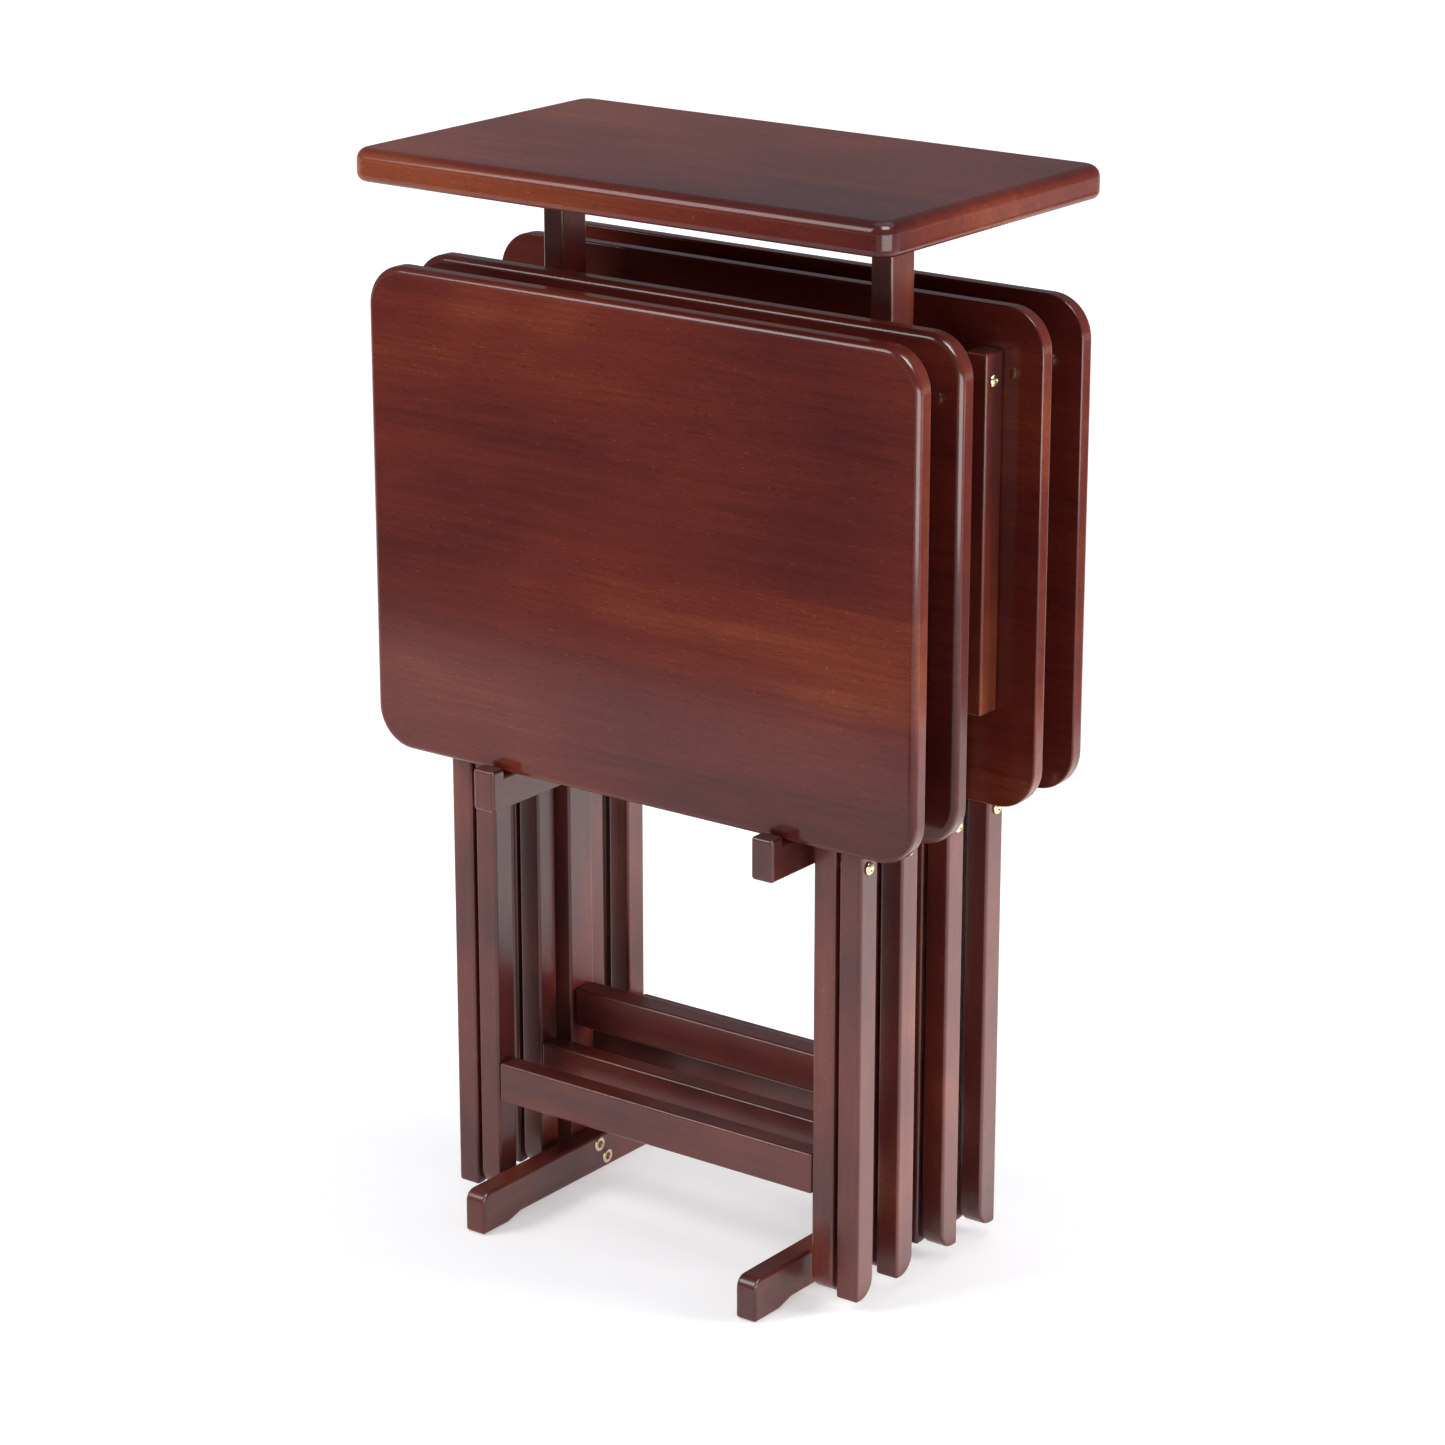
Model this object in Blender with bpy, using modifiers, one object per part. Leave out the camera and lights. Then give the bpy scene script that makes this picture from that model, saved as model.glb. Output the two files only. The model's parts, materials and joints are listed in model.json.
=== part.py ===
"""Four folding tray tables hanging on their storage stand, with every table folded flat.

Metres. X is the width, -Y the front, +Z up; the origin is on the floor under the middle of the stand.
Tables 1 and 2 hang on the front of the stand with their trays facing the front, tables 3 and 4 on the
rear with their trays facing the rear. Table 1 and table 4 are the outermost.
"""

import math

import bmesh
import bpy
from mathutils import Matrix, Vector

GAP = 0.0003  # between pieces that touch
LEVEL = 1e-6  # heights closer than this are the same

# Storage stand
BOARD_HALF_WIDTH = 0.233
BOARD_HALF_DEPTH = 0.1355
BOARD_TOP = 0.8098
BOARD_THICKNESS = 0.0242
BOARD_CORNER = 0.008
BOARD_ROUNDOVER = 0.0055
POST_OUTER_X = 0.1537
POST_WIDTH = 0.0182
POST_DEPTH = 0.0284
POST_BOTTOM = 0.004
LAP_X = POST_OUTER_X - POST_WIDTH  # where the arms and feet lap the posts
ARM_WIDTH = 0.0187
ARM_HALF_LENGTH = 0.1264
ARM_BOTTOM = 0.3300
ARM_TOP = 0.3560
LIP_TOP = 0.3620
LIP_THICKNESS = 0.0141
FOOT_WIDTH = 0.0180
FOOT_HALF_LENGTH = 0.1447
FOOT_HEIGHT = 0.0329
FOOT_END_RADIUS = 0.009
FOOT_PAD_INNER = 0.115
FOOT_RELIEF_START = 0.100
FOOT_RELIEF = 0.004
RAIL_TOP = 0.1530
RAIL_HEIGHT = 0.0310
RAIL_DEPTH = 0.0203

# Trays
TRAY_FRONT = 0.1090  # distance of the outermost show face from the stand's middle plane
TRAY_PITCH = 0.0509
TRAY_HALF_WIDTH = 0.2415
TRAY_BOTTOM = ARM_TOP + GAP
TRAY_TOP = 0.7215
TRAY_THICKNESS = 0.0147
TRAY_CORNER = 0.031
TRAY_SHOW_ROUNDOVER = 0.0055
TRAY_UNDERSIDE_ROUNDOVER = 0.0015

# Legs
HINGE_OFFSET = 0.0130  # hinge axis behind the tray's underside
HINGE_Z = 0.6710
PIVOT_Z = 0.3400
LEG_FACE_OFFSET = 0.0038  # legs' front face behind the tray's underside
LEG_DEPTH = 0.0205
LEG_WIDTH = 0.0190
LEG_BOTTOM = 0.0090
LEG_TOP = 0.6825
LEG_FOOT_RADIUS = 0.015
OUTER_LEG_X = 0.1860
INNER_LEG_X = 0.1640
STRETCHER_TOP = 0.1154
STRETCHER_HEIGHT = 0.0314
STRETCHER_DEPTH = 0.0171
UPPER_RAIL_RADIUS = 0.0070
UPPER_RAIL_HALF_LENGTH = INNER_LEG_X - LEG_WIDTH - GAP

# Eased edges
LEG_EDGE = 0.0016
TIMBER_EDGE = 0.0015
ARM_EDGE = 0.0012
DOWEL_EDGE = 0.0008
EDGE_STEPS = 2
ROUNDOVER_STEPS = 3

# Facets on the curves
CORNER_STEPS = 6
LEG_TOP_STEPS = 10
LEG_FOOT_STEPS = 5
FOOT_END_STEPS = 4
DOWEL_SIDES = 20
HOLE_SIDES = 16
SCREW_SIDES = 16
DOME_STEPS = 4

# Cleats and hardware
CLEAT_X = 0.1900
CLEAT_WIDTH = 0.0190
CLEAT_BOTTOM = 0.4285
CLEAT_TOP = 0.6915
CLEAT_DEPTH = 0.0215
SHANK_RADIUS = 0.0030
SHANK_HOLE_RADIUS = 0.00308
HEAD_RADIUS = 0.0048
HEAD_HEIGHT = 0.0026
PIVOT_SHANK_END = INNER_LEG_X + 0.0005
HINGE_SHANK_END = OUTER_LEG_X - 0.0150
CUTTER_OVERRUN = 0.010  # past the outer face of the wood
CUTTER_BREAKTHROUGH = 0.001  # past the inner face, short of the next leg

TRAY_WOOD = (0.140, 0.032, 0.020)
FRAME_WOOD = (0.155, 0.042, 0.030)
WOOD_ROUGHNESS = 0.32
BRASS = (0.72, 0.52, 0.22)
BRASS_ROUGHNESS = 0.28


def clear_scene():
    for item in list(bpy.data.objects):
        bpy.data.objects.remove(item, do_unlink=True)


def new_collection(name, hidden=False):
    collection = bpy.data.collections.new(name)
    collection.hide_render = hidden
    bpy.context.scene.collection.children.link(collection)
    return collection


def material(name, colour, roughness, metallic=0.0):
    made = bpy.data.materials.new(name)
    made.use_nodes = True
    shader = made.node_tree.nodes["Principled BSDF"]
    shader.inputs["Base Color"].default_value = (*colour, 1.0)
    shader.inputs["Roughness"].default_value = roughness
    shader.inputs["Metallic"].default_value = metallic
    made.diffuse_color = (*colour, 1.0)
    return made


def add_object(name, bm, collection, parent=None, location=(0, 0, 0)):
    """An object at location whose mesh was drawn in world coordinates."""
    bmesh.ops.translate(bm, vec=-Vector(location), verts=bm.verts)
    bmesh.ops.recalc_face_normals(bm, faces=bm.faces)
    mesh = bpy.data.meshes.new(name)
    bm.to_mesh(mesh)
    bm.free()
    made = bpy.data.objects.new(name, mesh)
    collection.objects.link(made)
    made.location = location
    if parent is not None:
        made.parent = parent
        made.matrix_parent_inverse = Matrix.Translation(-parent.location)
    return made


def joint_axis(name, location, collection):
    empty = bpy.data.objects.new(name, None)
    empty.location = location
    empty.empty_display_size = 0.02
    collection.objects.link(empty)
    return empty


def arc(centre, radius, start, end, steps):
    """Points on a circle, from angle start to angle end in degrees."""
    turns = [math.radians(start + (end - start) * i / steps) for i in range(steps + 1)]
    return [(centre[0] + radius * math.cos(a), centre[1] + radius * math.sin(a)) for a in turns]


def extrude_outline(outline, axis, low, high):
    """A bmesh prism: the outline's two coordinates are the axes other than axis, in X, Y, Z order."""
    bm = bmesh.new()
    spots = []
    for point in outline:
        spot = list(point)
        spot.insert(axis, low)
        spots.append(bm.verts.new(spot))
    face = bm.faces.new(spots)
    made = bmesh.ops.extrude_face_region(bm, geom=[face])
    shift = Vector((0, 0, 0))
    shift[axis] = high - low
    bmesh.ops.translate(bm, vec=shift, verts=[v for v in made["geom"] if isinstance(v, bmesh.types.BMVert)])
    return bm


def box(low, high):
    bm = bmesh.new()
    bmesh.ops.create_cube(bm, size=1.0)
    size = Vector(high) - Vector(low)
    middle = (Vector(high) + Vector(low)) / 2
    bmesh.ops.scale(bm, vec=size, verts=bm.verts)
    bmesh.ops.translate(bm, vec=middle, verts=bm.verts)
    return bm


def bevel(target, width, segments=EDGE_STEPS, weighted=False, angle=50.0):
    modifier = target.modifiers.new("edges", "BEVEL")
    modifier.width = width
    modifier.segments = segments
    modifier.limit_method = "WEIGHT" if weighted else "ANGLE"
    modifier.angle_limit = math.radians(angle)
    modifier.use_clamp_overlap = False


def drill(target, cutter):
    modifier = target.modifiers.new("hole", "BOOLEAN")
    modifier.operation = "DIFFERENCE"
    modifier.solver = "EXACT"
    modifier.object = cutter


def cylinder_x(x_low, x_high, y, z, radius, segments):
    bm = bmesh.new()
    turn = Matrix.Rotation(math.radians(90), 4, "Y")
    place = Matrix.Translation(((x_low + x_high) / 2, y, z)) @ turn
    bmesh.ops.create_cone(
        bm, cap_ends=True, segments=segments, radius1=radius, radius2=radius,
        depth=abs(x_high - x_low), matrix=place,
    )
    return bm


def rounded_plate(half_width, half_other, centre_other, axis, low, high, corner, weights):
    """A flat plate with rounded corners; weights are the bevel weights of its low and high rims."""
    outline = []
    for sx, sz, start in ((1, 1, 0), (-1, 1, 90), (-1, -1, 180), (1, -1, 270)):
        middle = (sx * (half_width - corner), centre_other + sz * (half_other - corner))
        outline += arc(middle, corner, start, start + 90, CORNER_STEPS)
    bm = extrude_outline(outline, axis, low, high)
    layer = bm.edges.layers.float.new("bevel_weight_edge")
    for edge in bm.edges:
        ends = [v.co[axis] for v in edge.verts]
        if abs(ends[0] - ends[1]) < LEVEL:
            edge[layer] = weights[0] if abs(ends[0] - low) < LEVEL else weights[1]
    return bm


def leg_outline(front, rear, rounded_rear):
    """Side view of a leg in Y and Z: rounded upper end, one rounded corner at the floor."""
    outward = 1 if rear > front else -1
    radius = abs(rear - front) / 2
    middle = (front + rear) / 2
    top = [
        (middle + outward * x, LEG_TOP - radius + z) for x, z in arc((0, 0), radius, 0, 180, LEG_TOP_STEPS)
    ]
    corner = arc((0, 0), LEG_FOOT_RADIUS, 270, 360, LEG_FOOT_STEPS)
    if rounded_rear:
        foot = [(front, LEG_BOTTOM)]
        foot += [
            (rear + outward * (x - LEG_FOOT_RADIUS), LEG_BOTTOM + LEG_FOOT_RADIUS + z)
            for x, z in corner
        ]
    else:
        foot = [
            (front - outward * (x - LEG_FOOT_RADIUS), LEG_BOTTOM + LEG_FOOT_RADIUS + z)
            for x, z in reversed(corner)
        ]
        foot.append((rear, LEG_BOTTOM))
    return foot + top


def screw(x_face, x_end, side, y, z):
    """A dome-headed screw lying along X: flat underside on x_face, shank to x_end."""
    dome = [
        (x_face + HEAD_HEIGHT * math.sin(a), HEAD_RADIUS * math.cos(a))
        for a in (math.radians(90 * i / DOME_STEPS) for i in range(DOME_STEPS + 1))
    ]
    profile = [(x_end, 0.0), (x_end, SHANK_RADIUS), (x_face, SHANK_RADIUS)] + dome
    bm = bmesh.new()
    spots = [bm.verts.new((side * x, y + r, z)) for x, r in profile[:-1]]
    spots.append(bm.verts.new((side * dome[-1][0], y, z)))
    edges = [bm.edges.new(pair) for pair in zip(spots, spots[1:])]
    bmesh.ops.spin(
        bm, geom=spots + edges, cent=(0, y, z), axis=(1, 0, 0), angle=math.tau, steps=SCREW_SIDES,
        use_duplicate=False,
    )
    bmesh.ops.remove_doubles(bm, verts=bm.verts, dist=LEVEL)
    return bm


def build_stand(parts):
    board = add_object(
        "stand_top",
        rounded_plate(
            BOARD_HALF_WIDTH, BOARD_HALF_DEPTH, 0.0, 2, BOARD_TOP - BOARD_THICKNESS, BOARD_TOP,
            BOARD_CORNER, (1.0, 1.0),
        ),
        parts,
    )
    bevel(board, BOARD_ROUNDOVER, ROUNDOVER_STEPS, weighted=True)
    half_arm, half_foot = ARM_HALF_LENGTH, FOOT_HALF_LENGTH
    arm_outline = [
        (-half_arm, ARM_BOTTOM), (half_arm, ARM_BOTTOM), (half_arm, LIP_TOP),
        (half_arm - LIP_THICKNESS, LIP_TOP), (half_arm - LIP_THICKNESS, ARM_TOP),
        (-half_arm + LIP_THICKNESS, ARM_TOP), (-half_arm + LIP_THICKNESS, LIP_TOP),
        (-half_arm, LIP_TOP),
    ]
    foot_outline = [
        (-half_foot, 0), (-FOOT_PAD_INNER, 0), (-FOOT_RELIEF_START, FOOT_RELIEF),
        (FOOT_RELIEF_START, FOOT_RELIEF), (FOOT_PAD_INNER, 0), (half_foot, 0),
    ]
    for sign, start in ((1, 0), (-1, 90)):
        centre = (sign * (half_foot - FOOT_END_RADIUS), FOOT_HEIGHT - FOOT_END_RADIUS)
        foot_outline += arc(centre, FOOT_END_RADIUS, start, start + 90, FOOT_END_STEPS)
    for side, word in ((-1, "left"), (1, "right")):
        inner, outer = sorted((side * LAP_X, side * POST_OUTER_X))
        post = add_object(
            f"post_{word}",
            box(
                (inner, -POST_DEPTH / 2, POST_BOTTOM),
                (outer, POST_DEPTH / 2, BOARD_TOP - BOARD_THICKNESS - GAP),
            ),
            parts,
        )
        bevel(post, TIMBER_EDGE)
        for name, outline, width in (("arm", arm_outline, ARM_WIDTH), ("foot", foot_outline, FOOT_WIDTH)):
            face = LAP_X - GAP
            low, high = sorted((side * (face - width), side * face))
            piece = add_object(f"{name}_{word}", extrude_outline(outline, 0, low, high), parts)
            bevel(piece, ARM_EDGE)
    reach = LAP_X - GAP
    rail = add_object(
        "lower_rail",
        box((-reach, -RAIL_DEPTH / 2, RAIL_TOP - RAIL_HEIGHT), (reach, RAIL_DEPTH / 2, RAIL_TOP)),
        parts,
    )
    bevel(rail, TIMBER_EDGE)


def build_table(number, facing, tray_front, parts, cutters):
    """One folded table; facing is -1 where the tray's show face looks to the front, 1 to the rear."""
    prefix = f"t{number}_"
    show, underside = facing * tray_front, facing * (tray_front - TRAY_THICKNESS)
    hinge_y = underside - facing * HINGE_OFFSET
    leg_front = underside - facing * LEG_FACE_OFFSET
    leg_rear = leg_front - facing * LEG_DEPTH
    pivot = joint_axis(prefix + "pivot_axis", (0, hinge_y, PIVOT_Z), parts)
    hinge = joint_axis(prefix + "hinge_axis", (0, hinge_y, HINGE_Z), parts)

    low, high = sorted((show, underside))
    weights = (1.0, TRAY_UNDERSIDE_ROUNDOVER / TRAY_SHOW_ROUNDOVER)
    if facing > 0:
        weights = weights[::-1]
    top = add_object(
        prefix + "top",
        rounded_plate(
            TRAY_HALF_WIDTH, (TRAY_TOP - TRAY_BOTTOM) / 2, (TRAY_TOP + TRAY_BOTTOM) / 2, 1, low, high,
            TRAY_CORNER, weights,
        ),
        parts, hinge, (0, hinge_y, HINGE_Z),
    )
    bevel(top, TRAY_SHOW_ROUNDOVER, ROUNDOVER_STEPS, weighted=True)

    rail = add_object(
        prefix + "upper_rail",
        cylinder_x(
            -UPPER_RAIL_HALF_LENGTH, UPPER_RAIL_HALF_LENGTH, hinge_y, HINGE_Z, UPPER_RAIL_RADIUS,
            DOWEL_SIDES,
        ),
        parts, hinge, (0, hinge_y, HINGE_Z),
    )
    bevel(rail, DOWEL_EDGE)

    y_low, y_high = sorted((leg_front, leg_front - facing * STRETCHER_DEPTH))
    reach = UPPER_RAIL_HALF_LENGTH
    stretcher = add_object(
        prefix + "stretcher",
        box((-reach, y_low, STRETCHER_TOP - STRETCHER_HEIGHT), (reach, y_high, STRETCHER_TOP)),
        parts, hinge, (0, hinge_y, HINGE_Z),
    )
    bevel(stretcher, TIMBER_EDGE)

    for side, word in ((-1, "left"), (1, "right")):
        pivot_hole = add_object(
            f"cut_{prefix}pivot_{word}",
            cylinder_x(
                side * (OUTER_LEG_X + CUTTER_OVERRUN),
                side * (OUTER_LEG_X - LEG_WIDTH - CUTTER_BREAKTHROUGH), hinge_y, PIVOT_Z,
                SHANK_HOLE_RADIUS, HOLE_SIDES,
            ),
            cutters,
        )
        hinge_hole = add_object(
            f"cut_{prefix}hinge_{word}",
            cylinder_x(
                side * (CLEAT_X + CLEAT_WIDTH + CUTTER_OVERRUN), side * (HINGE_SHANK_END - GAP),
                hinge_y, HINGE_Z, SHANK_HOLE_RADIUS, HOLE_SIDES,
            ),
            cutters,
        )
        for cutter in (pivot_hole, hinge_hole):
            cutter.display_type = "WIRE"
            cutter.hide_render = True

        x_low, x_high = sorted((side * (OUTER_LEG_X - LEG_WIDTH), side * OUTER_LEG_X))
        outline = leg_outline(leg_front, leg_rear, rounded_rear=True)
        outer = add_object(
            f"{prefix}outer_leg_{word}", extrude_outline(outline, 0, x_low, x_high), parts, pivot,
            (side * OUTER_LEG_X, hinge_y, PIVOT_Z),
        )
        bevel(outer, LEG_EDGE)
        drill(outer, pivot_hole)
        drill(outer, hinge_hole)

        x_low, x_high = sorted((side * (INNER_LEG_X - LEG_WIDTH), side * INNER_LEG_X))
        outline = leg_outline(leg_front, leg_rear, rounded_rear=False)
        inner = add_object(
            f"{prefix}inner_leg_{word}", extrude_outline(outline, 0, x_low, x_high), parts, hinge,
            (side * INNER_LEG_X, hinge_y, HINGE_Z),
        )
        bevel(inner, LEG_EDGE)

        x_low, x_high = sorted((side * CLEAT_X, side * (CLEAT_X + CLEAT_WIDTH)))
        y_low, y_high = sorted((underside - facing * GAP, underside - facing * CLEAT_DEPTH))
        cleat = add_object(
            f"{prefix}cleat_{word}", box((x_low, y_low, CLEAT_BOTTOM), (x_high, y_high, CLEAT_TOP)),
            parts, hinge, (side * CLEAT_X, hinge_y, HINGE_Z),
        )
        bevel(cleat, TIMBER_EDGE)
        drill(cleat, hinge_hole)

        add_object(
            f"{prefix}pivot_bolt_{word}",
            screw(OUTER_LEG_X + GAP, PIVOT_SHANK_END, side, hinge_y, PIVOT_Z),
            parts, pivot, (side * OUTER_LEG_X, hinge_y, PIVOT_Z),
        )
        add_object(
            f"{prefix}hinge_screw_{word}",
            screw(CLEAT_X + CLEAT_WIDTH + GAP, HINGE_SHANK_END, side, hinge_y, HINGE_Z),
            parts, hinge, (side * (CLEAT_X + CLEAT_WIDTH), hinge_y, HINGE_Z),
        )


def give_materials(parts):
    for item in parts.objects:
        if item.type != "MESH":
            continue
        if "bolt" in item.name or "screw" in item.name:
            look = (BRASS, BRASS_ROUGHNESS, 1.0)
        else:
            look = (TRAY_WOOD if item.name.endswith("_top") else FRAME_WOOD, WOOD_ROUGHNESS, 0.0)
        item.data.materials.append(material(item.name, *look))


def main():
    clear_scene()
    parts = new_collection("folding_tray_table_set")
    cutters = new_collection("cutters", hidden=True)
    build_stand(parts)
    for number, facing, tray_front in (
        (1, -1, TRAY_FRONT),
        (2, -1, TRAY_FRONT - TRAY_PITCH),
        (3, 1, TRAY_FRONT - TRAY_PITCH),
        (4, 1, TRAY_FRONT),
    ):
        build_table(number, facing, tray_front, parts, cutters)
    give_materials(parts)


main()
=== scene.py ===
"""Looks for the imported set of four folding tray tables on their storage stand.

Metres, in the CAD model's frame: X is the width, -Y the front, +Z up. Every node is replaced by a finer
piece in its place, of its size: the wood gets eased edges and a stained, lacquered grain, and the bolts and
screws get turned heads. Washers at the scissor bolts and the bolts in the arms and feet are added.
"""

import json
import math
import random
from collections import namedtuple

import bmesh
import bpy
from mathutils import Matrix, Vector


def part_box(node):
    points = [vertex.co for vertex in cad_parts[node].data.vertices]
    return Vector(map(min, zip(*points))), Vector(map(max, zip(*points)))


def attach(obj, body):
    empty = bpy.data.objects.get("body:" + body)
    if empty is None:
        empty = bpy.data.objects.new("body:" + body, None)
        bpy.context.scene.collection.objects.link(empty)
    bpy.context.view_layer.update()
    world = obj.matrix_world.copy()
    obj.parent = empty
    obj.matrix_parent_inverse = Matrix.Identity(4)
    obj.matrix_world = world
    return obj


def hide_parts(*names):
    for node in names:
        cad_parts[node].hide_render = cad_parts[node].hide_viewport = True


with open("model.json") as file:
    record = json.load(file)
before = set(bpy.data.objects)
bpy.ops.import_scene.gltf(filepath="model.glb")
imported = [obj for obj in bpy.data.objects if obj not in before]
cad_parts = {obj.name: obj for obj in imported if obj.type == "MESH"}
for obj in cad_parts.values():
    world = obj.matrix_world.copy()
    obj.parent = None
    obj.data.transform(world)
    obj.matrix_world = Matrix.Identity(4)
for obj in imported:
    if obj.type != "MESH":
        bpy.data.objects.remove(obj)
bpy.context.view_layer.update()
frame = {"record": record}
BODY_OF = {node: body for body, nodes in frame["record"]["behaviour"]["bodies"].items() for node in nodes}
X, Y, Z = range(3)
SIDES = (("left", -1), ("right", 1))
LEVEL = 1e-6  # places closer than this are the same

random.seed(3)

# ---------------------------------------------------------------- sizes that the frame doesn't state
TRAY_CORNER = 0.031
TRAY_SHOW_ROUNDOVER = 0.0055
TRAY_UNDERSIDE_ROUNDOVER = 0.0015
BOARD_CORNER = 0.015
BOARD_TOP_ROUNDOVER = 0.0090
BOARD_UNDERSIDE_ROUNDOVER = 0.0063
LEG_EDGE = 0.0024
LEG_FOOT_RADIUS = 0.015
TIMBER_EDGE = 0.0022
ARM_EDGE = 0.0026
DOWEL_EDGE = 0.0012
LIP_THICKNESS = 0.0141
LIP_HEIGHT = 0.0060
FOOT_END_RADIUS = 0.009
FOOT_PAD_INNER = 0.115
FOOT_RELIEF_START = 0.100
FOOT_RELIEF = 0.004

# Bolts in the feet and arms: Y and Z of each, and the head with its hexagonal socket
BOLT_SPOTS = {"foot": ((-0.004, 0.026), (0.0055, 0.013)), "arm": ((-0.005, 0.349), (0.005, 0.338))}
BOLT_HEAD_RADIUS = 0.0056
BOLT_HEAD_SEAT = 0.002  # in the wood
BOLT_HEAD_HEIGHT = 0.0009  # out of the wood
BOLT_HEAD_EDGE = 0.0004
BOLT_RIM_EDGE = 0.0001
BOLT_SOCKET_RADII = (0.0030, 0.0028)  # at the mouth and the floor
BOLT_SOCKET_FLOOR = 0.0012  # below the wood's face

# Domed heads of the scissor bolts and hinge screws
SHANK_RADIUS = 0.0028
HEAD_HEIGHT = 0.0026
HEAD_SEAT_SHARE = 0.94  # of the head's radius
HEAD_RIM = 0.0003
DOME_END = math.radians(64)
HEAD_SOCKET = ((0.0003, 0.30), (0.0016, 0.26))  # depth below the top, and share of the head's radius

# Washers between the legs: distance from the leg's face, and radius
WASHER_AT_INNER_LEG = ((0.0008, 0.0050), (0.0011, 0.0055))
WASHER_AT_OUTER_LEG = ((0.0003, 0.0055), (0.0001, 0.0052))

# Steps of the curves
EDGE_SEGMENTS = 4
EDGE_ANGLE = math.radians(50)  # edges that turn by more than this are eased
ROUNDOVER_SEGMENTS = 8
CORNER_STEPS = 14
LEG_TOP_STEPS = 20
LEG_FOOT_STEPS = 10
FOOT_END_STEPS = 8
TURNED_STEPS = 48
DOME_STEPS = 8

# ---------------------------------------------------------------- colours and finishes
DARK = (0.060, 0.0080, 0.0078, 1.0)
MIDDLE = (0.125, 0.0175, 0.0098, 1.0)
LIGHT = (0.225, 0.0480, 0.0180, 1.0)
DARK_TO_MIDDLE = (0.10, 0.60)  # in depths of the stain, from dark to light
MIDDLE_TO_LIGHT = (0.50, 1.00)

# The clear coat, the refractive index of the wood under it, and the noise scales of the stain's patches
Finish = namedtuple("Finish", "coat coat_roughness refraction patch_along patch_across")
TRAY_FINISH = Finish(0.60, 0.12, 1.15, 2.6, 5.0)
BOARD_FINISH = Finish(0.42, 0.12, 1.15, 2.6, 5.0)
FRAME_FINISH = Finish(0.55, 0.20, 1.37, 9.0, 14.0)
CLEAT_FINISH = Finish(0.45, 0.20, 1.20, 9.0, 14.0)
COAT_REFRACTION = 1.5

# Shifts of the stain's depth: above 0 is lighter. The rim shifts are partly lighter stain and partly a
# painted highlight
BASE_TONE = -0.29
BOARD_TONE = 0.02
# the board's rims are lighter: partly lighter stain on the sanded edges, partly a painted highlight where
# they catch the light
BOARD_RIM_TONE_AND_HIGHLIGHT = 0.24
ODD_TRAY_TONE = 0.04
# the trays' rims are lighter: partly lighter stain on the sanded edges, partly a painted highlight where
# they catch the light
TRAY_RIM_TONE_AND_HIGHLIGHT = 0.10
CLEAT_TONE = 0.18
RIM_TILT = (0.35, 0.95)  # the normal's part across the plate, on the rim and on the flat

GRAIN_REACH = 5.0  # each timber is cut from its own place in the grain, at most this far away
# Layers of grain: noise scale along and across it, detail, roughness and distortion
FIGURE = (3.0, 60.0, 3.0, 0.55, 0.6)
STREAK = (18.0, 380.0, 4.0, 0.6, 0.3)
FIBRE = (90.0, 1900.0, 2.0, 0.6, 0.0)
PORE = (150.0, 1500.0, 1.0, 0.5, 0.0)
FLECK = (260.0, 900.0, 1.0, 0.5, 0.0)
CLOUD_CHARACTER = (2.5, 0.5, 0.3)  # a cloud's scales are its finish's patches

# What the layers do to the stain's depth and, for the fine ones, to its brightness
CLOUD_WEIGHT = 1.50
FIGURE_WEIGHT = 0.40
STREAK_WEIGHT = 0.34
STAVE_WEIGHT = 0.12
FIBRE_SHADE = (0.30, 0.85)  # weight and base
PORE_RANGE = (0.60, 0.70)
PORE_SHADE = 0.72
FLECK_RANGE = (0.68, 0.76)
FLECK_SHADE = 1.7

# Staves of the glued plates
BOARD_STAVE_WIDTH = 0.066
TRAY_STAVE_WIDTH = 0.071
STAVE_SHIFT = 3.0  # at most how far the grain jumps between staves

# Surface of the wood
FIBRE_HEIGHT = 0.35
PORE_HEIGHT = -1.0
CLOUD_HEIGHT = 1.2
BUMP_STRENGTH = 0.35
BUMP_DISTANCE = 0.00012
FIBRE_RANGE = (0.3, 0.7)
WOOD_ROUGHNESS = (0.34, 0.46)

# Metals
BRASS_COLOUR = (0.78, 0.62, 0.38)
BRASS_ROUGHNESS = 0.22
STEEL_COLOUR = (0.62, 0.62, 0.60)
STEEL_ROUGHNESS = 0.30
TARNISH_SCALE = (260.0, 260.0, 260.0)
TARNISH_DETAIL = 3.0
TARNISH_RANGE = (0.35, 0.75)
TARNISH_SHADE = 0.72
SCRATCH_SCALE = (900.0, 900.0, 2600.0)
SCRATCH_RANGE = (0.3, 0.7)
SCRATCH_ROUGHNESS = (-0.04, 0.08)  # less and more than the metal's own

# ---------------------------------------------------------------- studio
WORLD_COLOUR = (0.93, 0.97, 1.08, 1.0)
WORLD_STRENGTH = 0.24
FLOOR_SIZE = 30.0
FLOOR_DROP = 0.0005
FLOOR_COLOUR = (0.92, 0.92, 0.92, 1.0)
FLOOR_ROUGHNESS = 0.75
FLOOR_SPECULAR = 0.1
FLOOR_GLOW = (0.42, 0.85)  # near the object and far from it
FLOOR_GLOW_REACH = (1.0, 4.0)
BACKDROP_RADIUS = 28.0
BACKDROP_HEIGHT = 30.0
BACKDROP_SIDES = 96
BACKDROP_GLOW = 0.95
FLAG_HEIGHT = 0.001
FLAG_COLOUR = (0.02, 0.02, 0.02, 1.0)
FRONT_FLAG = ((-4.0, -5.0), (0.45, -1.25))
SIDE_FLAG = ((0.8, 1.05), (2.6, 3.2))
WHITE = (1.0, 1.0, 1.0, 1.0)
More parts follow.
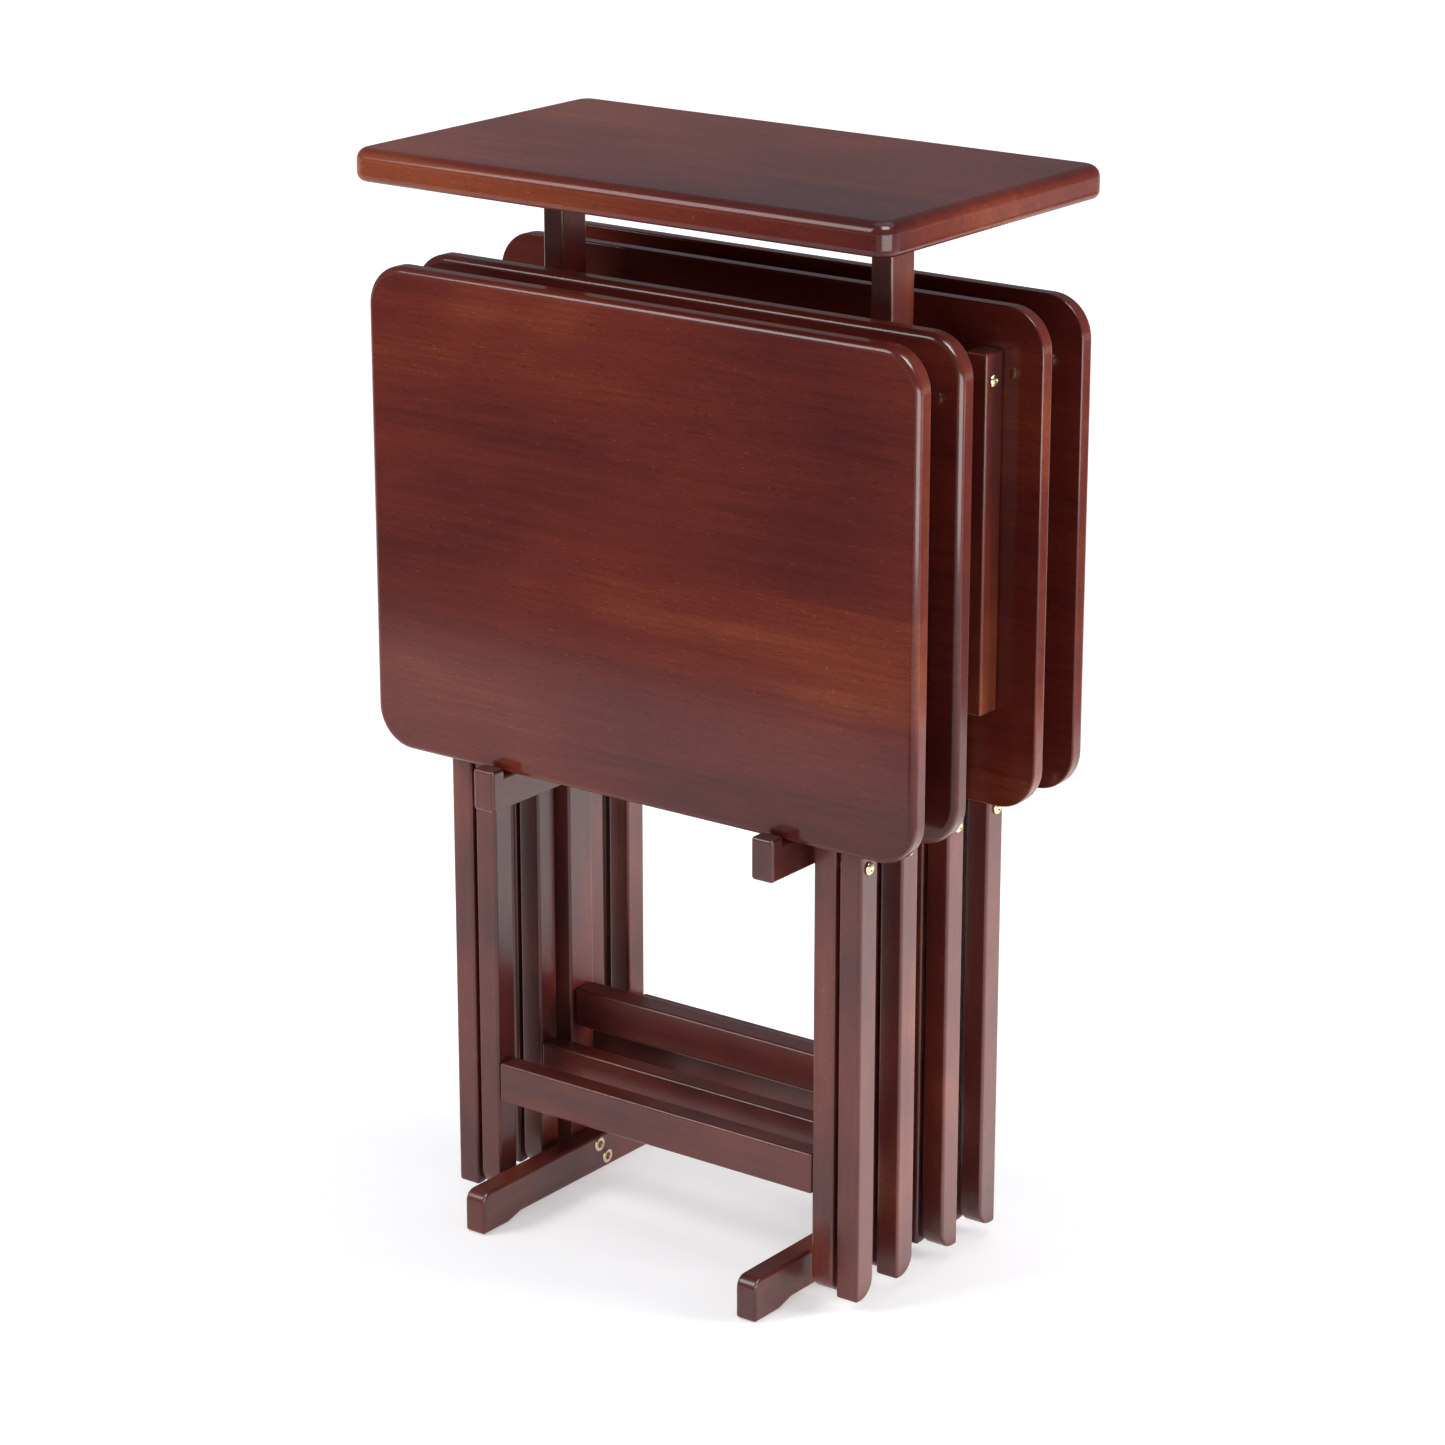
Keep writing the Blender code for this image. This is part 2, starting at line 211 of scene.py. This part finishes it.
# Name, place, aim, width, height, watts and, where it isn't all, what the light shows in.
SOFTBOXES = (
    ("key_softbox", (-1.8, -2.6, 2.6), (0, 0, 0.4), 1.6, 1.6, 76),
    ("right_softbox", (3.0, 1.6, 1.1), (0, 0, 0.45), 1.2, 2.2, 100, "diffuse"),
    ("top_softbox", (0.2, 0.5, 3.2), (0, 0, 0), 2.4, 2.4, 25),
    ("edge_panel", (1.30, -0.75, 0.47), (0.24, -0.1, 0.45), 1.20, 0.50, 16, "gloss"),
    ("floor_panel", (0.60, 0.50, 0.003), (0.60, 0.50, 1.0), 0.80, 1.20, 2.8, "gloss"),
    ("corner_panel", (0.85, -0.45, 2.0), (0.2, 0, 0.7), 0.8, 0.8, 40, "gloss"),
)
CAMERA_PLACE = (1.8115, -2.4415, 1.3734)
CAMERA_YAW, CAMERA_PITCH = 0.6388, 0.3128
CAMERA_LENS, CAMERA_SENSOR = 108.561, 36.0


# ---------------------------------------------------------------- node helpers
def add_node(tree, kind, settings=None, **inputs):
    """A shader node; inputs are values or sockets, and a name like in_0 picks a socket by number."""
    node = tree.nodes.new(kind)
    for key, value in (settings or {}).items():
        setattr(node, key, value)
    for key, value in inputs.items():
        socket = node.inputs[int(key[3:])] if key.startswith("in_") else node.inputs[key.replace("_", " ")]
        if isinstance(value, bpy.types.NodeSocket):
            tree.links.new(value, socket)
        else:
            socket.default_value = value
    return node


def maths(tree, operation, first, second=0.0, third=0.0):
    node = add_node(tree, "ShaderNodeMath", {"operation": operation}, in_0=first, in_1=second, in_2=third)
    return node.outputs[0]


def spread(tree, value, low, high, to_low=0.0, to_high=1.0):
    """value mapped smoothly from low..high to to_low..to_high."""
    settings = {"interpolation_type": "SMOOTHSTEP"}
    node = add_node(
        tree, "ShaderNodeMapRange", settings, in_0=value, in_1=low, in_2=high, in_3=to_low, in_4=to_high
    )
    return node.outputs[0]


def blend_colours(tree, amount, first, second, mode="MIX"):
    settings = {"data_type": "RGBA", "blend_type": mode}
    node = add_node(tree, "ShaderNodeMix", settings, in_0=amount, in_6=first, in_7=second)
    return node.outputs[2]


def noise(tree, place, scale, detail=2.0, rough=0.5, distortion=0.0):
    stretched = add_node(tree, "ShaderNodeMapping", Vector=place, Scale=scale).outputs[0]
    node = add_node(
        tree, "ShaderNodeTexNoise", Vector=stretched, Scale=1.0, Detail=detail, Roughness=rough,
        Distortion=distortion,
    )
    return node.outputs[0]


def grain(tree, place, axis, along, across, *character):
    """Noise stretched along axis."""
    return noise(tree, place, [along if i == axis else across for i in range(3)], *character)


def new_material(name):
    """A material with its node tree and its shader."""
    made = bpy.data.materials.new(name)
    made.use_nodes = True
    return made, made.node_tree, made.node_tree.nodes["Principled BSDF"]


def set_shader(shader, **values):
    for name, value in values.items():
        shader.inputs[name.replace("_", " ")].default_value = value


# ---------------------------------------------------------------- materials
def cut_staves(tree, place, stave_axis, stave_width):
    """A random number for each stave, and place moved for each, so that the grain doesn't run across."""
    across = add_node(tree, "ShaderNodeSeparateXYZ", Vector=place).outputs[stave_axis]
    number = maths(tree, "FLOOR", maths(tree, "DIVIDE", across, stave_width))
    cell = add_node(tree, "ShaderNodeTexWhiteNoise", {"noise_dimensions": "1D"}, W=number)
    shift = add_node(
        tree, "ShaderNodeVectorMath", {"operation": "SCALE"}, in_0=cell.outputs["Color"], Scale=STAVE_SHIFT
    )
    moved = add_node(tree, "ShaderNodeVectorMath", {"operation": "ADD"}, in_0=place, in_1=shift.outputs[0])
    return cell.outputs["Value"], moved.outputs[0]


def layer(tree, depth, value, weight):
    """depth with a layer on it, whose value varies about a half."""
    return maths(tree, "MULTIPLY_ADD", value, weight, maths(tree, "SUBTRACT", depth, weight / 2))


def rim_stain_and_highlight(tree, plate_axis, rim_tone_and_highlight):
    """The lighter rim of a plate that lies across plate_axis: partly lighter stain on the sanded edges,
    partly a painted highlight where the rim catches the light.
    """
    normal = add_node(tree, "ShaderNodeTexCoord").outputs["Normal"]
    tilt = add_node(tree, "ShaderNodeSeparateXYZ", Vector=normal).outputs[plate_axis]
    return spread(tree, maths(tree, "ABSOLUTE", tilt), *RIM_TILT, rim_tone_and_highlight, 0.0)


def stain_colour(tree, depth, shade):
    lower = blend_colours(tree, spread(tree, depth, *DARK_TO_MIDDLE), DARK, MIDDLE)
    colour = blend_colours(tree, spread(tree, depth, *MIDDLE_TO_LIGHT), lower, LIGHT)
    grey = add_node(tree, "ShaderNodeCombineColor", in_0=shade, in_1=shade, in_2=shade).outputs[0]
    return blend_colours(tree, 1.0, colour, grey, "MULTIPLY")


def wood(
    name, axis, finish=FRAME_FINISH, tone=0.0, stave_axis=None, stave_width=None, plate_axis=None,
    rim_tone_and_highlight=None,
):
    """Stained, lacquered hardwood whose grain runs along axis.

    Where stave_axis is given, it is glued from staves of stave_width side by side along that axis. tone
    shifts the stain, and rim_tone_and_highlight lightens the rim of a plate that lies across plate_axis,
    partly as lighter stain and partly as a painted highlight.
    """
    made, tree, shader = new_material(name)
    offset = [random.uniform(-GRAIN_REACH, GRAIN_REACH) for _ in range(3)]
    place = add_node(tree, "ShaderNodeTexCoord").outputs["Object"]
    place = add_node(tree, "ShaderNodeMapping", Vector=place, Location=offset).outputs[0]
    cloud = grain(tree, place, axis, finish.patch_along, finish.patch_across, *CLOUD_CHARACTER)
    if stave_axis is not None:
        stave, place = cut_staves(tree, place, stave_axis, stave_width)
    figure, streak, fibre, pore, fleck = (
        grain(tree, place, axis, *look) for look in (FIGURE, STREAK, FIBRE, PORE, FLECK)
    )
    pore = spread(tree, pore, *PORE_RANGE)

    depth = maths(tree, "MULTIPLY_ADD", cloud, CLOUD_WEIGHT, tone + BASE_TONE)
    depth = layer(tree, depth, figure, FIGURE_WEIGHT)
    depth = layer(tree, depth, streak, STREAK_WEIGHT)
    if stave_axis is not None:
        depth = layer(tree, depth, stave, STAVE_WEIGHT)
    # the rim is made lighter: partly lighter stain, partly a painted highlight
    if plate_axis is not None:
        depth = maths(tree, "ADD", depth, rim_stain_and_highlight(tree, plate_axis, rim_tone_and_highlight))
    shade = maths(tree, "MULTIPLY_ADD", fibre, *FIBRE_SHADE)
    shade = maths(tree, "MULTIPLY", shade, spread(tree, pore, 0.0, 1.0, 1.0, PORE_SHADE))
    shade = maths(tree, "MULTIPLY", shade, spread(tree, fleck, *FLECK_RANGE, 1.0, FLECK_SHADE))
    tree.links.new(stain_colour(tree, depth, shade), shader.inputs["Base Color"])

    height = maths(tree, "MULTIPLY_ADD", fibre, FIBRE_HEIGHT, maths(tree, "MULTIPLY", pore, PORE_HEIGHT))
    height = maths(tree, "MULTIPLY_ADD", cloud, CLOUD_HEIGHT, height)
    bump = add_node(tree, "ShaderNodeBump", Height=height, Strength=BUMP_STRENGTH, Distance=BUMP_DISTANCE)
    tree.links.new(bump.outputs[0], shader.inputs["Normal"])
    tree.links.new(spread(tree, fibre, *FIBRE_RANGE, *WOOD_ROUGHNESS), shader.inputs["Roughness"])
    set_shader(
        shader, IOR=finish.refraction, Coat_Weight=finish.coat, Coat_Roughness=finish.coat_roughness,
        Coat_IOR=COAT_REFRACTION,
    )
    return made


def metal(name, colour, roughness):
    made, tree, shader = new_material(name)
    place = add_node(tree, "ShaderNodeTexCoord").outputs["Object"]
    tarnish = spread(tree, noise(tree, place, TARNISH_SCALE, TARNISH_DETAIL), *TARNISH_RANGE)
    dull = [TARNISH_SHADE * c for c in colour]
    tree.links.new(blend_colours(tree, tarnish, (*colour, 1.0), (*dull, 1.0)), shader.inputs["Base Color"])
    scratches = noise(tree, place, SCRATCH_SCALE)
    low, high = (roughness + change for change in SCRATCH_ROUGHNESS)
    tree.links.new(spread(tree, scratches, *SCRATCH_RANGE, low, high), shader.inputs["Roughness"])
    set_shader(shader, Metallic=1.0)
    return made


# ---------------------------------------------------------------- objects
def add_object(name, data):
    made = bpy.data.objects.new(name, data)
    bpy.context.scene.collection.objects.link(made)
    return made


def mesh_object(name, bm, material):
    mesh = bpy.data.meshes.new(name)
    bm.to_mesh(mesh)
    bm.free()
    mesh.materials.append(material)
    return add_object(name, mesh)


def make_piece(
    name, bm, node, material, edge=0.0, segments=EDGE_SEGMENTS, weighted=False, stands_in=True
):
    """Turns a bmesh into a piece on the node's body, with eased edges; one that stands in hides the node."""
    bmesh.ops.recalc_face_normals(bm, faces=bm.faces)
    piece = mesh_object(name, bm, material)
    piece.data.polygons.foreach_set("use_smooth", [True] * len(piece.data.polygons))
    if edge:
        rounding = piece.modifiers.new("edges", "BEVEL")
        rounding.width = edge
        rounding.segments = segments
        rounding.limit_method = "WEIGHT" if weighted else "ANGLE"
        rounding.angle_limit = EDGE_ANGLE
        rounding.harden_normals = True
        rounding.use_clamp_overlap = False
    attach(piece, BODY_OF[node])
    if stands_in:
        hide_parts(node)


# ---------------------------------------------------------------- shapes
def arc(centre, radius, start, end, steps):
    turns = [math.radians(start + (end - start) * i / steps) for i in range(steps + 1)]
    return [(centre[0] + radius * math.cos(a), centre[1] + radius * math.sin(a)) for a in turns]


def prism(outline, axis, low, high):
    """A closed prism: the outline's two coordinates are the axes other than axis, in X, Y, Z order."""
    bm = bmesh.new()
    corners = []
    for point in outline:
        place = list(point)
        place.insert(axis, low)
        corners.append(bm.verts.new(place))
    made = bmesh.ops.extrude_face_region(bm, geom=[bm.faces.new(corners)])
    shift = Vector((0, 0, 0))
    shift[axis] = high - low
    bmesh.ops.translate(bm, vec=shift, verts=[v for v in made["geom"] if isinstance(v, bmesh.types.BMVert)])
    return bm


def box(low, high):
    bm = bmesh.new()
    bmesh.ops.create_cube(bm, size=1.0)
    bmesh.ops.scale(bm, vec=high - low, verts=bm.verts)
    bmesh.ops.translate(bm, vec=(high + low) / 2, verts=bm.verts)
    return bm


def rounded_plate(low, high, axis, corner, weights):
    """A plate across axis with rounded corners; weights are the bevel weights of its low and high rims."""
    across = [i for i in range(3) if i != axis]
    outline = []
    for first_sign, second_sign, start in ((1, 1, 0), (-1, 1, 90), (-1, -1, 180), (1, -1, 270)):
        signs = zip(across, (first_sign, second_sign))
        centre = [(high[i] if sign > 0 else low[i]) - sign * corner for i, sign in signs]
        outline += arc(centre, corner, start, start + 90, CORNER_STEPS)
    bm = prism(outline, axis, low[axis], high[axis])
    rim = bm.edges.layers.float.new("bevel_weight_edge")
    for edge in bm.edges:
        first, second = (v.co[axis] for v in edge.verts)
        if abs(first - second) < LEVEL:
            edge[rim] = weights[0] if abs(first - low[axis]) < LEVEL else weights[1]
    return bm


def leg_outline(low, high, rounded_side):
    """Side view of a leg in Y and Z, round at the top; rounded_side is the Y direction of its foot's arc."""
    radius = (high.y - low.y) / 2
    outline = arc(((high.y + low.y) / 2, high.z - radius), radius, 0, 180, LEG_TOP_STEPS)
    foot = low.z + LEG_FOOT_RADIUS
    if rounded_side < 0:
        outline += arc((low.y + LEG_FOOT_RADIUS, foot), LEG_FOOT_RADIUS, 180, 270, LEG_FOOT_STEPS)
        outline.append((high.y, low.z))
    else:
        outline.append((low.y, low.z))
        outline += arc((high.y - LEG_FOOT_RADIUS, foot), LEG_FOOT_RADIUS, 270, 360, LEG_FOOT_STEPS)
    return outline


def mirrored(half):
    """An outline in Y and Z from its half at +Y."""
    return half + [(-y, z) for y, z in reversed(half)]


def arm_outline(low, high):
    """Side view of an arm in Y and Z, with a lip at each end."""
    end, inner, seat = high.y, high.y - LIP_THICKNESS, high.z - LIP_HEIGHT
    return mirrored([(end, low.z), (end, high.z), (inner, high.z), (inner, seat)])


def foot_outline(low, high):
    """Side view of a foot in Y and Z, rounded at its upper ends and hollowed under its middle."""
    centre = (high.y - FOOT_END_RADIUS, high.z - FOOT_END_RADIUS)
    end = [(high.y, low.z)] + arc(centre, FOOT_END_RADIUS, 0, 90, FOOT_END_STEPS)
    under = [(FOOT_RELIEF_START, FOOT_RELIEF), (FOOT_PAD_INNER, 0.0)]
    return mirrored(end) + [(-y, z) for y, z in reversed(under)] + under


def turned(rings, side, y, z):
    """A turned form along X: rings of (x, radius, hexagonal or not) from the shank's end to the middle."""
    bm = bmesh.new()
    loops = []
    for x, radius, hexagonal in rings:
        loop = []
        for i in range(TURNED_STEPS):
            turn = math.tau * i / TURNED_STEPS
            reach = radius
            if hexagonal:
                reach = radius * math.cos(math.pi / 6) / math.cos((turn % (math.pi / 3)) - math.pi / 6)
            loop.append(bm.verts.new((side * x, y + reach * math.cos(turn), z + reach * math.sin(turn))))
        loops.append(loop)
    for first, second in zip(loops, loops[1:]):
        for i in range(TURNED_STEPS):
            j = (i + 1) % TURNED_STEPS
            bm.faces.new((first[i], first[j], second[j], second[i]))
    bm.faces.new(loops[0])
    bm.faces.new(loops[-1])
    return bm


def side_faces(node):
    """How far a node's inner and outer faces are from the object's middle plane, along X."""
    return sorted(abs(corner.x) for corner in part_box(node))


# ---------------------------------------------------------------- timber and hardware
def add_timber(node, axis, edge=TIMBER_EDGE, shape=None, finish=FRAME_FINISH, tone=0.0):
    """The piece for a timber whose grain runs along axis; without a shape it is a plain bar."""
    stained = wood(node + "_wood", axis, finish, tone)
    make_piece(node + "_timber", shape or box(*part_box(node)), node, stained, edge)


def side_prism(node, outline, *settings):
    """A prism along X over the node's width; outline makes its side view from the node's corners."""
    low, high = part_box(node)
    return prism(outline(low, high, *settings), X, low.x, high.x)


def add_plate(name, node, axis, corner, roundover, weights, made):
    """The piece for a glued plate across axis; weights are the bevel weights of its low and high rims."""
    shape = rounded_plate(*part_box(node), axis, corner, weights)
    make_piece(name, shape, node, made, roundover, ROUNDOVER_SEGMENTS, weighted=True)


def add_bolts(part, word, side):
    """Flush bolts in the inner face of a foot or an arm, each with a hexagonal socket."""
    face = side_faces(f"{part}_{word}")[0]
    mouth, floor = BOLT_SOCKET_RADII
    rings = [
        (face + BOLT_HEAD_SEAT, BOLT_HEAD_RADIUS, False),
        (face - BOLT_HEAD_HEIGHT + BOLT_HEAD_EDGE, BOLT_HEAD_RADIUS, False),
        (face - BOLT_HEAD_HEIGHT, BOLT_HEAD_RADIUS - BOLT_HEAD_EDGE, False),
        (face - BOLT_HEAD_HEIGHT, mouth, True),
        (face + BOLT_SOCKET_FLOOR, floor, True),
    ]
    for number, (y, z) in enumerate(BOLT_SPOTS[part]):
        make_piece(
            f"{part}_bolt_{word}_{number}_socket", turned(rings, side, y, z), f"{part}_{word}", BRASS,
            BOLT_RIM_EDGE, 1, stands_in=False,
        )


def add_domed_head(node, side):
    """The piece for a scissor bolt or a hinge screw: its shank and its domed head with a socket."""
    low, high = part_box(node)
    shank, outer = side_faces(node)
    radius = (high.z - low.z) / 2
    seat = outer - HEAD_HEIGHT
    rings = [
        (shank, SHANK_RADIUS, False), (seat, SHANK_RADIUS, False), (seat, radius * HEAD_SEAT_SHARE, False),
    ]
    for i in range(DOME_STEPS + 1):
        turn = DOME_END * i / DOME_STEPS
        rise = HEAD_RIM + (HEAD_HEIGHT - HEAD_RIM) * math.sin(turn)
        rings.append((seat + rise, radius * math.cos(turn), False))
    rings += [(outer - depth, radius * share, True) for depth, share in HEAD_SOCKET]
    shape = turned(rings, side, (low.y + high.y) / 2, (low.z + high.z) / 2)
    make_piece(node + "_head", shape, node, BRASS)


def add_washer(prefix, word, side):
    """The washer on the scissor bolt, between the inner and the outer leg."""
    node = f"{prefix}pivot_bolt_{word}"
    low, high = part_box(node)
    inner_leg = side_faces(f"{prefix}inner_leg_{word}")[1]
    outer_leg = side_faces(f"{prefix}outer_leg_{word}")[0]
    rings = [(inner_leg + gap, radius, False) for gap, radius in WASHER_AT_INNER_LEG]
    rings += [(outer_leg - gap, radius, False) for gap, radius in WASHER_AT_OUTER_LEG]
    shape = turned(rings, side, (low.y + high.y) / 2, (low.z + high.z) / 2)
    make_piece(f"{prefix}pivot_{word}_washer", shape, node, STEEL, stands_in=False)


def add_dowel(prefix):
    """The piece for a table's upper rail, a dowel with eased ends."""
    node = prefix + "upper_rail"
    low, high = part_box(node)
    middle = (low + high) / 2
    radius = (high.z - low.z) / 2
    rings = [
        (low.x, radius - DOWEL_EDGE, False), (low.x + DOWEL_EDGE, radius, False),
        (high.x - DOWEL_EDGE, radius, False), (high.x, radius - DOWEL_EDGE, False),
    ]
    shape = turned(rings, 1, middle.y, middle.z)
    make_piece(prefix + "upper_dowel", shape, node, wood(prefix + "dowel_wood", X))


# ---------------------------------------------------------------- the stand and the tables
def build_stand():
    stained = wood(
        "board_wood", X, BOARD_FINISH, BOARD_TONE, stave_axis=Y, stave_width=BOARD_STAVE_WIDTH, plate_axis=Z,
        rim_tone_and_highlight=BOARD_RIM_TONE_AND_HIGHLIGHT,
    )
    weights = (BOARD_UNDERSIDE_ROUNDOVER / BOARD_TOP_ROUNDOVER, 1.0)
    add_plate("board", "stand_top", Z, BOARD_CORNER, BOARD_TOP_ROUNDOVER, weights, stained)
    for word, side in SIDES:
        arm, foot = f"arm_{word}", f"foot_{word}"
        add_timber(f"post_{word}", Z)
        add_timber(arm, Y, ARM_EDGE, side_prism(arm, arm_outline))
        add_timber(foot, Y, ARM_EDGE, side_prism(foot, foot_outline))
        add_bolts("foot", word, side)
        add_bolts("arm", word, side)
    add_timber("lower_rail", X)


def build_table(number):
    prefix = f"t{number}_"
    facing = -1 if number < 3 else 1  # the Y direction of the show face
    stained = wood(
        prefix + "tray_wood", X, TRAY_FINISH, ODD_TRAY_TONE * (number % 2), stave_axis=Z,
        stave_width=TRAY_STAVE_WIDTH, plate_axis=Y, rim_tone_and_highlight=TRAY_RIM_TONE_AND_HIGHLIGHT,
    )
    weights = [1.0, TRAY_UNDERSIDE_ROUNDOVER / TRAY_SHOW_ROUNDOVER]
    if facing > 0:
        weights.reverse()
    add_plate(prefix + "tray", prefix + "top", Y, TRAY_CORNER, TRAY_SHOW_ROUNDOVER, weights, stained)
    add_timber(prefix + "stretcher", X)
    add_dowel(prefix)
    for word, side in SIDES:
        for kind, rounded_side in (("outer", -facing), ("inner", facing)):
            leg = f"{prefix}{kind}_leg_{word}"
            add_timber(leg, Z, LEG_EDGE, side_prism(leg, leg_outline, rounded_side))
        add_timber(f"{prefix}cleat_{word}", Z, finish=CLEAT_FINISH, tone=CLEAT_TONE)
        add_domed_head(f"{prefix}pivot_bolt_{word}", side)
        add_washer(prefix, word, side)
        add_domed_head(f"{prefix}hinge_screw_{word}", side)


# ---------------------------------------------------------------- room, lights and camera
def build_floor():
    """A white floor that glows a little more far away, so that it fades into the background."""
    pale, tree, shader = new_material("pale_floor")
    set_shader(
        shader, Base_Color=FLOOR_COLOUR, Roughness=FLOOR_ROUGHNESS, Specular_IOR_Level=FLOOR_SPECULAR,
        Emission_Color=WHITE,
    )
    place = add_node(tree, "ShaderNodeTexCoord").outputs["Object"]
    reach = add_node(tree, "ShaderNodeVectorMath", {"operation": "LENGTH"}, in_0=place).outputs["Value"]
    tree.links.new(spread(tree, reach, *FLOOR_GLOW_REACH, *FLOOR_GLOW), shader.inputs["Emission Strength"])
    bm = bmesh.new()
    bmesh.ops.create_grid(bm, x_segments=2, y_segments=2, size=FLOOR_SIZE)
    floor = mesh_object("floor", bm, pale)
    floor.location.z = -FLOOR_DROP


def build_backdrop():
    """A white wall far behind everything, for the low views. It gives the object no light."""
    white, _, shader = new_material("backdrop_white")
    set_shader(shader, Emission_Color=WHITE, Emission_Strength=BACKDROP_GLOW)
    bm = bmesh.new()
    bmesh.ops.create_cone(
        bm, cap_ends=False, segments=BACKDROP_SIDES, radius1=BACKDROP_RADIUS, radius2=BACKDROP_RADIUS,
        depth=BACKDROP_HEIGHT,
    )
    wall = mesh_object("backdrop", bm, white)
    wall.visible_diffuse = wall.visible_glossy = wall.visible_shadow = False


def build_world():
    world = bpy.data.worlds.new("studio")
    world.use_nodes = True
    background = world.node_tree.nodes["Background"]
    background.inputs["Color"].default_value = WORLD_COLOUR
    background.inputs["Strength"].default_value = WORLD_STRENGTH
    bpy.context.scene.world = world
    bpy.context.scene.view_settings.view_transform = "Standard"


def black_flag(name, low, high):
    """A dark card on the floor, seen only in reflections, that keeps the pale floor off the gloss."""
    felt, _, shader = new_material(name + "_felt")
    set_shader(shader, Base_Color=FLAG_COLOUR, Roughness=1.0)
    middle = Vector((low[0] + high[0], low[1] + high[1], 2 * FLAG_HEIGHT)) / 2
    bm = bmesh.new()
    bmesh.ops.create_grid(bm, x_segments=1, y_segments=1, size=0.5)
    bmesh.ops.scale(bm, vec=(abs(high[0] - low[0]), abs(high[1] - low[1]), 1.0), verts=bm.verts)
    bmesh.ops.translate(bm, vec=middle, verts=bm.verts)
    card = mesh_object(name, bm, felt)
    card.visible_camera = card.visible_diffuse = card.visible_shadow = False


def softbox(name, place, aim, width, height, power, shows_in="all"):
    """A soft light; shows_in is all, gloss for reflections only, or diffuse for no reflection."""
    light = bpy.data.lights.new(name, "AREA")
    light.shape = "RECTANGLE"
    light.size, light.size_y = width, height
    light.energy = power
    lamp = add_object(name, light)
    lamp.visible_camera = False
    lamp.visible_diffuse = shows_in != "gloss"
    lamp.visible_glossy = shows_in != "diffuse"
    lamp.location = place
    lamp.rotation_euler = (Vector(aim) - Vector(place)).to_track_quat("-Z", "Y").to_euler()


def build_camera():
    lens = bpy.data.cameras.new("camera")
    lens.lens, lens.sensor_width = CAMERA_LENS, CAMERA_SENSOR
    camera = add_object("camera", lens)
    camera.location = CAMERA_PLACE
    camera.rotation_euler = (math.pi / 2 - CAMERA_PITCH, 0.0, CAMERA_YAW)
    bpy.context.scene.camera = camera


BRASS = metal("brass_plate", BRASS_COLOUR, BRASS_ROUGHNESS)
STEEL = metal("washer_steel", STEEL_COLOUR, STEEL_ROUGHNESS)

build_stand()
for table_number in (1, 2, 3, 4):
    build_table(table_number)
build_floor()
build_backdrop()
build_world()
black_flag("front_flag", *FRONT_FLAG)
black_flag("side_flag", *SIDE_FLAG)
for light_facts in SOFTBOXES:
    softbox(*light_facts)
build_camera()
